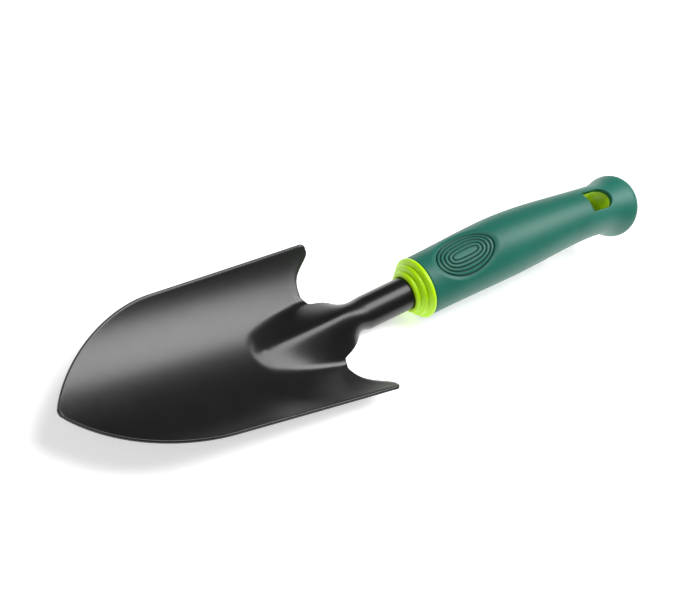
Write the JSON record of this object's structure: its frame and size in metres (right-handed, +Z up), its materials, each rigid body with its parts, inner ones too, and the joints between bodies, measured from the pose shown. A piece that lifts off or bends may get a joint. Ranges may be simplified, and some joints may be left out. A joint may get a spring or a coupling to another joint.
{
  "type": "hand trowel",
  "caption": "Garden hand trowel: a deep pointed steel scoop with a raised rib runs into a rolled neck, held in a stepped plastic collar and a soft moulded grip with a hanging hole.",
  "frame": {"origin": "middle of the tool's footprint on the surface that it lies on, under its box's centre", "axes": "+X along the tool towards the blade's tip, +Y across the blade, +Z up, out of the open side of the scoop"},
  "size_m": [0.3452, 0.0836, 0.0447],
  "materials": {
    "blade": "satin black powder coat",
    "handle_core": "smooth lime green",
    "grip_sleeve": "soft matte dark green"
  },
  "bodies": {
    "root": {"blade": "blade", "handle_core": "handle_core", "grip_sleeve": "grip_sleeve"}
  },
  "joints": []
}
